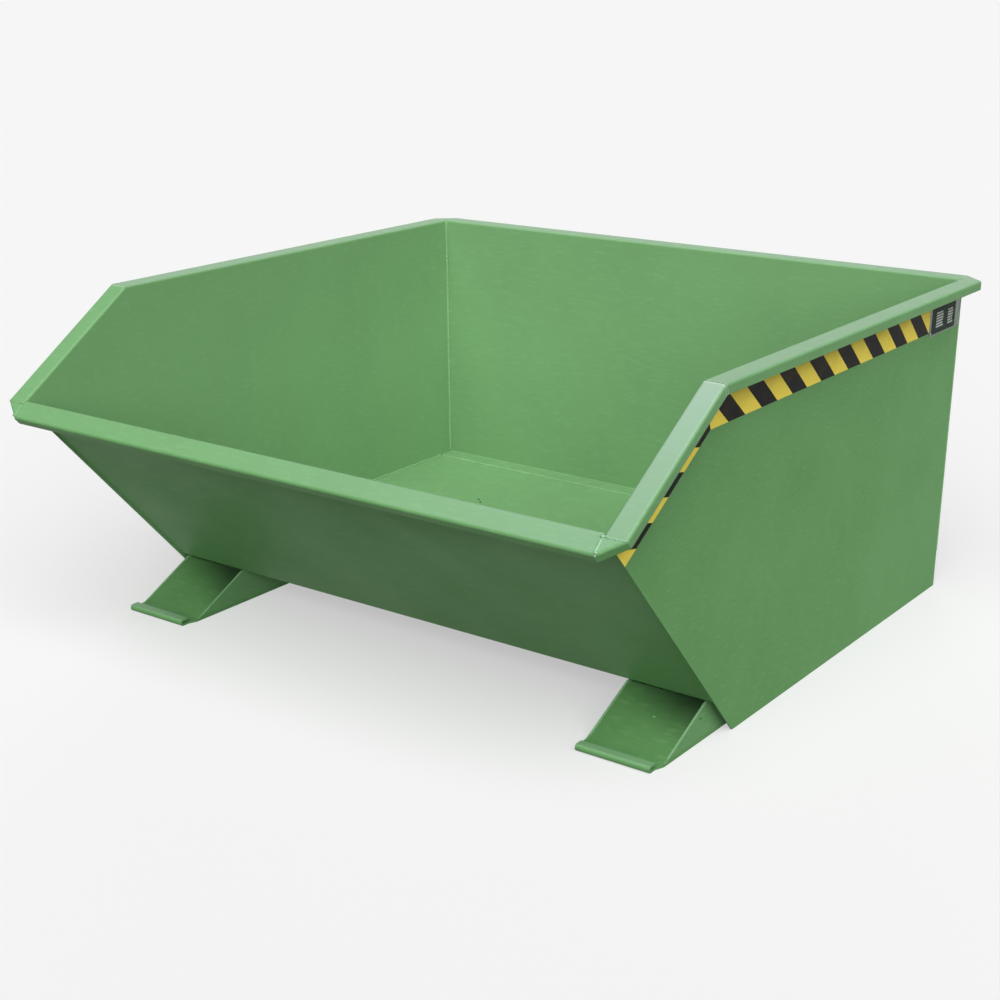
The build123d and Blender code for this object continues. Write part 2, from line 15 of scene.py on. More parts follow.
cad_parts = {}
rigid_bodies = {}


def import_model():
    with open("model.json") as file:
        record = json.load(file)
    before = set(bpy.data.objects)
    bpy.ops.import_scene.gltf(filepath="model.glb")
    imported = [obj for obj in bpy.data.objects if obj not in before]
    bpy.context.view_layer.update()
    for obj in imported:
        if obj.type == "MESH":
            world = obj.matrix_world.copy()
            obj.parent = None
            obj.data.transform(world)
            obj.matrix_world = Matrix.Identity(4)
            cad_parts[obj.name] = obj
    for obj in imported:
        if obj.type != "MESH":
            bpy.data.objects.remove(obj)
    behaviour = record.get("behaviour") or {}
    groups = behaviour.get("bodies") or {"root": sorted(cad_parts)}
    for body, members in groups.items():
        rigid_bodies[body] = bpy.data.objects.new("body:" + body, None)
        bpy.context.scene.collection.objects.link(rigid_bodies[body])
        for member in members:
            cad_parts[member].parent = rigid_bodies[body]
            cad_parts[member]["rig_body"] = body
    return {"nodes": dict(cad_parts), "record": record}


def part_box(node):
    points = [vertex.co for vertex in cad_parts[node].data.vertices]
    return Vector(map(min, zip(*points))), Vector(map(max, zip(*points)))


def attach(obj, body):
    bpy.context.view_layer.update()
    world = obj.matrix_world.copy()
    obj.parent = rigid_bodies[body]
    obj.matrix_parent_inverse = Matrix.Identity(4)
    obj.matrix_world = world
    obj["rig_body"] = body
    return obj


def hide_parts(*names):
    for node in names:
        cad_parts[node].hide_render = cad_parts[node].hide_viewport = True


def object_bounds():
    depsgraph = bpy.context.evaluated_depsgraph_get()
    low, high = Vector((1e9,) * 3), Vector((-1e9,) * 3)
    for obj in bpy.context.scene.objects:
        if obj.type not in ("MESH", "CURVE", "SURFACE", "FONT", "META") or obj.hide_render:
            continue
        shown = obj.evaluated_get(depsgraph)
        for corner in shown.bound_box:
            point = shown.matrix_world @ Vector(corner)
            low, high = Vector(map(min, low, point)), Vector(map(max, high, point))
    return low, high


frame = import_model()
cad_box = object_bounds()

LOG = logging.getLogger("tipping_hopper")
MM = 0.001
IMAGE_SIDE = 1000.0
SENSOR_MM = 36.0
# Nearly all values of a noise pattern lie between these two.
NOISE_SPAN = (0.3, 0.7)
RIGHT = Vector((1, 0, 0))
FORWARD = Vector((0, -1, 0))
BACK = Vector((0, 1, 0))
UP = Vector((0, 0, 1))
# The enamel's green: as sprayed, where the film is thin, and where it is thick.
GREEN = ("#65985E", "#70A269", "#61925A")
# The record's material slot of each modelled node.
SLOTS = {part["node"]: part["material_slot"] for part in frame["record"]["subparts"]}

Material = bpy.types.Material
Node = bpy.types.Node
Socket = bpy.types.NodeSocket
Tree = bpy.types.NodeTree
Triple = tuple[float, float, float]
Span = tuple[float, float]
Face = tuple[int, ...]
# Points in millimetres, and faces as numbers of points.
Skin = tuple[list[Vector], list[Face]]


class Side(Enum):
    """Which side of the hopper a piece is on, as the sign of its X."""

    LEFT = -1
    RIGHT = 1


class TapeRun(Enum):
    """The two runs of hazard tape on a side sheet, as the names of nodes say them."""

    LEVEL = "top"
    FALLING = "slope"


class Body(Enum):
    """The three bodies that pieces ride on."""

    BASE = "base"
    BUCKET = "bucket"
    LATCH = "latch"


def linear(colour: str) -> tuple[float, ...]:
    """Turn an sRGB hex colour such as "#5D9A57" into linear red, green and blue, and alpha 1."""
    parts = [int(colour[i:i + 2], 16) / 255 for i in (1, 3, 5)]
    return (*(c / 12.92 if c <= 0.04045 else ((c + 0.055) / 1.055) ** 2.4 for c in parts), 1.0)


def per_mm(size_mm: float) -> float:
    """Texture scale, in metre coordinates, of a pattern whose features are this large."""
    return 1.0 / (size_mm * MM)


def in_mm(box: tuple[Triple, Triple]) -> list[Vector]:
    """Lowest and highest corner of a node's box, turned from metres to millimetres."""
    return [Vector(corner) / MM for corner in box]


def add(tree: Tree, kind: str, *inputs: Any, named: dict[str, Any] | None = None,
        **settings: Any) -> Node:
    """Add one node to a shader.

    Args:
        tree: Tree that gets the node.
        kind: Blender's name for the type of node, without its first word ShaderNode, and its
            operation after a dot.
        inputs: What goes into its inputs, in their order: a value, another node's socket, or
            another node, which gives its first output in use.
        named: What goes into other inputs, by name.
        settings: Properties of the node.

    Returns:
        The new node.
    """
    family, _, operation = kind.partition(".")
    node = tree.nodes.new(f"ShaderNode{family}")
    if operation:
        node.operation = operation
    for name, value in settings.items():
        setattr(node, name, value)
    pairs = list(zip((socket for socket in node.inputs if socket.enabled), inputs))
    pairs += [(node.inputs[name], value) for name, value in (named or {}).items()]
    for socket, value in pairs:
        if isinstance(value, Node):
            value = next(output for output in value.outputs if output.enabled)
        if isinstance(value, Socket):
            tree.links.new(value, socket)
        else:
            socket.default_value = value
    return node


def new_material(name: str) -> tuple[Material, Tree]:
    """Make an empty node material.

    Args:
        name: Its name.

    Returns:
        The material and its node tree.
    """
    material = bpy.data.materials.new(name)
    material.use_nodes = True
    material.node_tree.nodes.clear()
    return material, material.node_tree


@dataclass(frozen=True)
class CutPlane:
    """A plane across the painted sheets, in millimetres."""

    normal: Vector
    offset_mm: float

    def depth(self, tree: Tree, point: Node | Socket) -> Node:
        """Measure how far a point is beyond the plane, in metres."""
        along = add(tree, "VectorMath.DOT_PRODUCT", point, self.normal)
        return add(tree, "Math.SUBTRACT", along, self.offset_mm * MM)


@dataclass(frozen=True)
class SprayedEnamel:
    """Alkyd enamel sprayed on cold-rolled sheet.

    It gives the eye an even dull green with cloudy patches of film thickness, short level streaks
    of the rolling, drawn coarser than real ones so that they show, and a fine orange peel in the
    reflections. Rims that look up are smoother and carry a painted sheen, a pale colour for the
    light that they catch: even behind the plane level_behind, and elsewhere strongest round one
    front corner, where it is a painted reflection. The faces that look into the hopper are painted
    paler, as painted light. A darker colour grows one way, which is grime near the ground on the
    base and a painted shade on the ramps, and ground-off welds show as thin lines with pale
    flanks.
    """

    name: str
    colour: str
    thin: str
    thick: str
    ior: float = 1.5
    specular: float = 0.08
    roughness: Span = (0.46, 0.58)
    cloud_mm: float = 210.0
    cloud_span: Span = (0.38, 0.72)
    streak_mm: Triple = (26.0, 26.0, 3.2)
    streak_span: Span = (0.52, 0.80)
    streak_most: float = 0.75
    peel_mm: float = 3.6
    peel_height_mm: float = 0.022
    wave_mm: float = 190.0
    wave_height_mm: float = 0.30
    rims: tuple[CutPlane, ...] = ()
    rim_above_mm: float = 200.0
    flat_facing: Span = (0.40, 0.84)
    lip_facing: Span = (-0.5, -0.1)
    lip_share: float = 0.2
    lip_from_mm: float = 15.0
    rubbed_roughness: float = 0.38
    # Painted sheen on the rims: a pale colour for the light that they catch, strongest round one
    # spot, where it is a painted reflection, and even on the level rims.
    painted_sheen_colour: str = "#AABDB5"
    painted_sheen_peak: float = 0.57
    least_painted_sheen: float = 0.05
    painted_sheen_spot_mm: Triple = (610.0, -360.0, 580.0)
    painted_sheen_spread_mm: float = 380.0
    level_behind: CutPlane | None = None
    level_painted_sheen: float = 0.28
    # Painted light on the inside: faces that look into the hopper mix towards this paler green.
    inside_painted_pale: str = "#B9CDB4"
    scouring: float = 0.0
    inside_painted_fade_mm: float = 30.0
    middle_mm: Triple = (0.0, 80.0, 400.0)
    # A darker colour laid one way: grime near the ground on the base, and a painted shade on the
    # ramps.
    grime: str = "#2C4A2B"
    grime_most: float = 0.0
    grime_way: Triple = (0.0, 0.0, 1.0)
    grime_and_shade_from_mm: float = 12.0
    grime_and_shade_full_mm: float = 0.0
    grime_and_shade_patchiness: float = 0.4
    seams: tuple[tuple[CutPlane, CutPlane], ...] = ()
    seam: str = "#2C4A2B"
    seam_half_mm: float = 1.1
    seam_core: float = 0.4
    flank: str = "#C9DFCB"
    flank_mm: float = 4.2
    flank_most: float = 0.5

    def material(self) -> Material:
        """Build the painted finish, as layers of colour over the sprayed green.

        Returns:
            Its material.
        """
        material, tree = new_material(self.name)
        source = add(tree, "TexCoord")
        place, normal = source.outputs["Object"], source.outputs["Normal"]
        cloud = add(tree, "TexNoise", place, per_mm(self.cloud_mm),
                    named={"Detail": 4.0, "Roughness": 0.6})
        stretch = [per_mm(size) for size in self.streak_mm]
        stretched = add(tree, "VectorMath.MULTIPLY", place, stretch)
        streak = add(tree, "TexNoise", stretched, named={"Scale": 1.0, "Detail": 2.0})
        thick = add(tree, "MapRange", cloud, *self.cloud_span)
        thin = add(tree, "MapRange", streak, *self.streak_span, 0.0, self.streak_most)
        layers = [(thick, self.thick), (thin, self.thin)]
        gloss = add(tree, "MapRange", cloud, *NOISE_SPAN, *self.roughness)
        if self.rims:
            rim_sheen_mask = self._rim_mask(tree, place, normal)
            gloss = add(tree, "Mix", rim_sheen_mask, gloss, self.rubbed_roughness)
            # Painted sheen: the rims that look up are paled as if they caught the light.
            painted_sheen_share = add(tree, "Math.MULTIPLY", rim_sheen_mask, self._painted_sheen_amount(tree, place))
            layers.append((painted_sheen_share, self.painted_sheen_colour))
        # Painted light: faces that look into the hopper are painted paler.
        if self.scouring:
            middle = Vector(self.middle_mm) * MM
            inward = add(tree, "VectorMath.SUBTRACT", middle, place)
            towards = add(tree, "VectorMath.DOT_PRODUCT", inward, normal)
            fade = self.inside_painted_fade_mm * MM
            inside = add(tree, "MapRange", towards, 0.0, fade, 0.0, self.scouring)
            layers.append((inside, self.inside_painted_pale))
        # Darkening one way: grime near the ground on the base, and a painted shade on the ramps.
        if self.grime_most:
            reach = add(tree, "VectorMath.DOT_PRODUCT", place, self.grime_way)
            ends = (self.grime_and_shade_from_mm * MM, self.grime_and_shade_full_mm * MM)
            grime_and_shade = add(tree, "MapRange", reach, *ends, 0.0, self.grime_most,
                         interpolation_type="SMOOTHSTEP")
            patches = add(tree, "MapRange", cloud, *NOISE_SPAN, 1.0 - self.grime_and_shade_patchiness)
            patchy = add(tree, "Math.MULTIPLY", grime_and_shade, patches)
            layers.append((patchy, self.grime))
        if self.seams:
            layers += self._seam_lines(tree, place)
        colour: Any = linear(self.colour)
        for share, tint in layers:
            colour = add(tree, "Mix", share, colour, linear(tint), data_type="RGBA")
        wave = add(tree, "TexNoise", place, per_mm(self.wave_mm), named={"Detail": 0.0})
        peel = add(tree, "TexNoise", place, per_mm(self.peel_mm), named={"Detail": 1.0})
        waved = add(tree, "Bump", 1.0, self.wave_height_mm * MM, named={"Height": wave})
        relief = add(tree, "Bump", 1.0, self.peel_height_mm * MM,
                     named={"Height": peel, "Normal": waved})
        shader = add(tree, "BsdfPrincipled", named={
            "Base Color": colour, "Roughness": gloss, "IOR": self.ior,
            "Specular IOR Level": self.specular, "Normal": relief})
        add(tree, "OutputMaterial", shader)
        return material

    def _folded(self, tree: Tree, place: Socket) -> Node:
        """Fold the left half of the hopper on to the right half, by making X positive."""
        mirrored = add(tree, "VectorMath.MULTIPLY", place, (-1.0, 1.0, 1.0))
        return add(tree, "VectorMath.MAXIMUM", place, mirrored)

    def _rim_mask(self, tree: Tree, place: Socket, normal: Socket) -> Node:
        """Find the rims: what is high up, outside the walls and looks up.

        Args:
            tree: The enamel's tree.
            place: The point in the hopper's frame.
            normal: The way the sheet faces there.

        Returns:
            Node that is 1 on the rims' flats, fades round their folds to the lips and is 0 inside
            the walls.
        """
        height, upward = (add(tree, "SeparateXYZ", item).outputs["Z"] for item in (place, normal))
        high = add(tree, "Math.GREATER_THAN", height, self.rim_above_mm * MM)
        flat = add(tree, "MapRange", upward, *self.flat_facing, interpolation_type="SMOOTHSTEP")
        lip = add(tree, "MapRange", upward, *self.lip_facing, 0.0, self.lip_share)
        point = self._folded(tree, place)
        mask: Any = 0.0
        for plane in self.rims:
            depth = plane.depth(tree, point)
            for facing, start in ((flat, 0.0), (lip, self.lip_from_mm * MM)):
                beyond = add(tree, "Math.GREATER_THAN", depth, start)
                shown = add(tree, "Math.MULTIPLY", beyond, facing)
                mask = add(tree, "Math.MAXIMUM", mask, shown)
        return add(tree, "Math.MULTIPLY", mask, high)

    def _painted_sheen_amount(self, tree: Tree, place: Socket) -> Node:
        """Say how much painted sheen a rim gets: fading with distance from the spot of a painted
        reflection, or even on the level rims.

        Args:
            tree: The enamel's tree.
            place: The point in the hopper's frame.

        Returns:
            Node with the share of the painted sheen's colour.
        """
        corner = Vector(self.painted_sheen_spot_mm) * MM
        away = add(tree, "VectorMath.DISTANCE", place, corner)
        fading = add(tree, "Math.MULTIPLY", away, -per_mm(self.painted_sheen_spread_mm))
        nearness = add(tree, "Math.EXPONENT", fading)
        amount = add(tree, "Math.MULTIPLY_ADD", nearness, self.painted_sheen_peak, self.least_painted_sheen)
        if not self.level_behind:
            return amount
        ahead = self.level_behind.depth(tree, place)
        level = add(tree, "Math.LESS_THAN", ahead, 0.0)
        return add(tree, "Mix", level, amount, self.level_painted_sheen)

    def _seam_lines(self, tree: Tree, place: Socket) -> list[tuple[Node, str]]:
        """Draw each seam where its first plane cuts the sheet, beyond its second plane.

        Args:
            tree: The enamel's tree.
            place: The point in the hopper's frame.

        Returns:
            Layers of the pale flanks and the dark lines.
        """
        point = self._folded(tree, place)
        nearest: Any = 1.0
        for planes in self.seams:
            apart, side = (plane.depth(tree, point) for plane in planes)
            gap = add(tree, "Math.ABSOLUTE", apart)
            barred = add(tree, "Math.LESS_THAN", side, 0.0)
            gated = add(tree, "Math.ADD", gap, barred)
            nearest = add(tree, "Math.MINIMUM", nearest, gated)
        half, flank = self.seam_half_mm * MM, self.flank_mm * MM
        pale = add(tree, "MapRange", nearest, half, flank, self.flank_most, 0.0)
        dark = add(tree, "MapRange", nearest, self.seam_core * half, half, 1.0, 0.0)
        return [(pale, self.flank), (dark, self.seam)]


@dataclass(frozen=True)
class StripedVinyl:
    """Printed PVC hazard tape.

    It gives the eye flat yellow and black bars with clean edges, a soft sheen and a little grime.
    A bar goes forward along its run about as much as it goes up, and a little more where the tape
    was pulled crooked as it was stuck on.
    """

    name: str
    origin_mm: Span
    slope_deg: float
    first_bar_mm: float
    bar_mm: float
    bar_growth_mm: float = 0.0
    lean: float = 1.0
    lean_growth: float = 0.0
    yellow: str = "#F8E25C"
    black: str = "#0B0A0A"
    grime: str = "#8A7F55"
    grime_mm: float = 38.0
    grime_span: Span = (0.45, 0.75)
    grime_most: float = 0.12
    film_mm: float = 6.0
    film_height_mm: float = 0.03
    film_strength: float = 0.5
    roughness: Span = (0.38, 0.55)
    ior: float = 1.53
    specular: float = 0.05

    def material(self) -> Material:
        """Build the striped film.

        Returns:
            Its material.
        """
        material, tree = new_material(self.name)
        place = add(tree, "TexCoord").outputs["Object"]
        pair = add(tree, "Math.FLOORED_MODULO", self._bars(tree, place), 2.0)
        bright = add(tree, "Math.GREATER_THAN", pair, 1.0)
        bars = add(tree, "Mix", bright, linear(self.black), linear(self.yellow), data_type="RGBA")
        cloud = add(tree, "TexNoise", place, per_mm(self.grime_mm), named={"Detail": 5.0})
        soil = add(tree, "MapRange", cloud, *self.grime_span, 0.0, self.grime_most)
        colour = add(tree, "Mix", soil, bars, linear(self.grime), data_type="RGBA")
        ripple = add(tree, "TexNoise", place, per_mm(self.film_mm))
        relief = add(tree, "Bump", self.film_strength, self.film_height_mm * MM,
                     named={"Height": ripple})
        gloss = add(tree, "MapRange", cloud, *NOISE_SPAN, *self.roughness)
        shader = add(tree, "BsdfPrincipled", named={
            "Base Color": colour, "Roughness": gloss, "IOR": self.ior,
            "Specular IOR Level": self.specular, "Normal": relief})
        add(tree, "OutputMaterial", shader)
        return material

    def _bars(self, tree: Tree, place: Socket) -> Node:
        """Count bars along the run, each longer than the one before it by twice the growth.

        Args:
            tree: The tape's tree.
            place: The point in the hopper's frame.

        Returns:
            Node with the number of bars, and parts of one, up to the point.
        """
        turn = radians(self.slope_deg)
        along = Vector((0.0, -cos(turn), -sin(turn)))
        upward = Vector((0.0, -sin(turn), cos(turn)))
        corner = Vector((0.0, *self.origin_mm)) * MM
        reach = add(tree, "VectorMath.SUBTRACT", place, corner)
        forward, rise = (add(tree, "VectorMath.DOT_PRODUCT", reach, way / MM)
                         for way in (along, upward))
        lean = add(tree, "Math.MULTIPLY_ADD", forward, self.lean_growth, self.lean)
        leant = add(tree, "Math.MULTIPLY", rise, lean)
        travel = add(tree, "Math.SUBTRACT", forward, leant)
        bar, growth = self.bar_mm, self.bar_growth_mm
        length = add(tree, "Math.ADD", travel, bar - self.first_bar_mm)
        if not growth:
            return add(tree, "Math.DIVIDE", length, bar)
        under = add(tree, "Math.MULTIPLY_ADD", length, 4.0 * growth, bar ** 2)
        root = add(tree, "Math.SQRT", under)
        less = add(tree, "Math.SUBTRACT", root, bar)
        return add(tree, "Math.DIVIDE", less, 2.0 * growth)


@dataclass(frozen=True)
class GrainedSolid:
    """A plain solid material with one grain: metal, rubber, ink, mud or plastic.

    It gives the eye a base colour that drifts a little, and a grain in colour, gloss and relief
    that can be drawn out along one axis, as brushing is.
    """

    name: str
    colour: str
    other: str
    grain_mm: Triple
    relief_mm: float
    roughness: Span
    metallic: float = 0.0
    ior: float = 1.5
    specular: float = 0.5

    def material(self) -> Material:
        """Build the grained finish.

        Returns:
            Its material.
        """
        material, tree = new_material(self.name)
        place = add(tree, "TexCoord").outputs["Object"]
        stretch = [per_mm(size) for size in self.grain_mm]
        stretched = add(tree, "VectorMath.MULTIPLY", place, stretch)
        grain = add(tree, "TexNoise", stretched, named={"Scale": 1.0, "Detail": 3.0})
        drift = add(tree, "MapRange", grain, *NOISE_SPAN)
        gloss = add(tree, "MapRange", grain, *NOISE_SPAN, *self.roughness)
        colour = add(tree, "Mix", drift, linear(self.colour), linear(self.other), data_type="RGBA")
        relief = add(tree, "Bump", 1.0, self.relief_mm * MM, named={"Height": grain})
        shader = add(tree, "BsdfPrincipled", named={
            "Base Color": colour, "Roughness": gloss, "Metallic": self.metallic, "IOR": self.ior,
            "Specular IOR Level": self.specular, "Normal": relief})
        add(tree, "OutputMaterial", shader)
        return material


def add_piece(name: str, skins: list[Skin], body: Body, materials: list[Material],
              numbers: list[int] | None = None, smooth: bool = True) -> bpy.types.Object:
    """Make one piece of mesh that rides on a body, kept inside the modelled hopper's box.

    Args:
        name: Name of the piece.
        skins: The closed skins that it consists of, in the hopper's frame.
        body: Body that carries it.
        materials: Its finishes.
        numbers: Number of the finish of each skin.
        smooth: Whether its faces are shaded smooth.

    Returns:
        The new object.
    """
    placed: list[Vector] = []
    faces: list[Face] = []
    for points, quads in skins:
        faces += [tuple(len(placed) + i for i in quad) for quad in quads]
        placed += [Vector(min(max(p * MM, low), high) for p, low, high in zip(point, *cad_box))
                   for point in points]
    mesh = bpy.data.meshes.new(name)
    mesh.from_pydata(placed, [], faces)
    mesh.validate()
    for material in materials:
        mesh.materials.append(material)
    if numbers:
        mesh.polygons.foreach_set("material_index", [
            number for number, skin in zip(numbers, skins) for _ in skin[1]])
    mesh.polygons.foreach_set("use_smooth", [smooth] * len(mesh.polygons))
    piece = bpy.data.objects.new(name, mesh)
    bpy.context.scene.collection.objects.link(piece)
    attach(piece, body.value)
    LOG.info("piece %s: %d faces on %s", name, len(mesh.polygons), body.value)
    return piece


def tube_faces(lengths: int, around: int) -> list[Face]:
    """Join rings of points into a closed tube.

    Args:
        lengths: How many lengths of tube lie between the rings.
        around: How many points each ring has.

    Returns:
        The faces round the tube and at its two ends.
    """
    faces: list[Face] = []
    last = lengths * around
    for low in range(0, last, around):
        high = low + around
        for k in range(around):
            after = (k + 1) % around
            faces.append((low + k, low + after, high + after, high + k))
    return [*faces, tuple(reversed(range(around))), tuple(range(last, last + around))]


@dataclass
class WeldRun:
    """One run of weld, laid from start to end as a row of overlapping ripples.

    leg_a and leg_b go from the seam to the two toes of the bead and crown is how it stands up
    between them, all in millimetres.
    """

    start: Vector
    end: Vector
    leg_a: Vector
    leg_b: Vector
    crown: Vector
    ripple_mm: float = 5.0
    steps: int = 5
    section: int = 5
    unevenness: float = 0.16
    ripple_size: float = 0.20
    ripple_middle: float = 0.7
    root_mm: float = 0.4
    taper_mm: float = 5.0
    end_size: float = 0.35

    @classmethod
    def fillet(cls, start: Vector, end: Vector, way_a: Vector, way_b: Vector, leg: float,
               bulge: float = 0.2, **shape: float) -> "WeldRun":
        """Lay a run with equal legs two ways; a bulge below 0 goes round an outer corner."""
        crown = (way_a + way_b) * leg * bulge
        return cls(start, end, way_a * leg, way_b * leg, crown, **shape)

    def mesh(self, rng: random.Random) -> Skin:
        """Build the bead as a closed skin.

        Args:
            rng: Source of the ripples' unevenness.

        Returns:
            The skin.
        """
        length = (self.end - self.start).length
        ripples = max(2, round(length / self.ripple_mm))
        lengths = ripples * self.steps
        sizes = [1.0 + rng.uniform(-self.unevenness, self.unevenness) for _ in range(ripples + 1)]
        root = -self.crown.normalized() * self.root_mm
        points: list[Vector] = []
        for i in range(lengths + 1):
            share = i / lengths
            ripple, part = divmod(i, self.steps)
            dip = self.ripple_middle - sin(pi * part / self.steps)
            size = sizes[ripple] * (1.0 - self.ripple_size * dip)
            size *= min(1.0, self.end_size + min(share, 1 - share) * length / self.taper_mm)
            middle = self.start.lerp(self.end, share)
            for k in range(self.section + 1):
                t = k / self.section
                rise = self.crown * sin(pi * t)
                points.append(middle + (self.leg_a * (1 - t) + self.leg_b * t + rise) * size)
            points.append(middle + root)
        return points, tube_faces(lengths, self.section + 2)


@dataclass
class WeldDrop:
    """A lump stuck to a sheet: a drop of weld metal, spatter or mud, in millimetres."""

    middle: Vector
    size: Vector
    unevenness: float = 0.2
    rings: int = 6
    spokes: int = 9

    def mesh(self, rng: random.Random) -> Skin:
        """Build the drop as a closed lumpy skin.

        Args:
            rng: Source of its unevenness.

        Returns:
            The skin.
        """
        points = [self.middle + UP * self.size.z]
        for ring in range(1, self.rings):
            tilt = pi * ring / self.rings
            for spoke in range(self.spokes):
                turn = tau * spoke / self.spokes
                way = Vector((sin(tilt) * cos(turn), sin(tilt) * sin(turn), cos(tilt)))
                swell = 1.0 + rng.uniform(-self.unevenness, self.unevenness)
                points.append(self.middle + way * self.size * swell)
        last = len(points)
        points.append(self.middle - UP * self.size.z)
        faces: list[Face] = []
        for spoke in range(self.spokes):
            after = (spoke + 1) % self.spokes
            faces.append((0, 1 + spoke, 1 + after))
            for upper in range(1, last - self.spokes, self.spokes):
                lower = upper + self.spokes
                faces.append((upper + spoke, lower + spoke, lower + after, upper + after))
            bottom = last - self.spokes
            faces.append((bottom + spoke, last, bottom + after))
        return points, faces


def slab(low: Triple, high: Triple) -> Skin:
    """Make a thin printed slab from its lowest to its highest corner, in millimetres."""
    quads = [(0, 1, 3, 2), (4, 6, 7, 5), (0, 4, 5, 1), (2, 3, 7, 6), (0, 2, 6, 4), (1, 5, 7, 3)]
    return [Vector(corner) for corner in product(*zip(low, high))], quads


@dataclass
class SubAssembly:
    """One body of the hopper, with the finishes of its nodes and pieces by their use."""

    body: Body
    slot: str
    finishes: dict[str, Material] = field(default_factory=dict)

    def finish_of(self, node: str) -> str:
        """Say which finish a modelled node has."""
        return node

    def dress(self) -> None:
        """Give every modelled node of the body its finish."""
        for node, item in frame["nodes"].items():
            if item["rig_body"] == self.body.value:
                material = self.finishes[self.finish_of(node)]
                for slot in item.material_slots:
                    slot.material = material
                LOG.info("node %s: %s", node, material.name)

    def weld(self, name: str, runs: list[WeldRun | WeldDrop], seed: int,
             finish: str = "bead") -> None:
        """Make a piece from weld runs and drops, with a seed for their unevenness."""
        rng = random.Random(seed)
        add_piece(name, [run.mesh(rng) for run in runs], self.body,
                  [self.finishes[finish]])


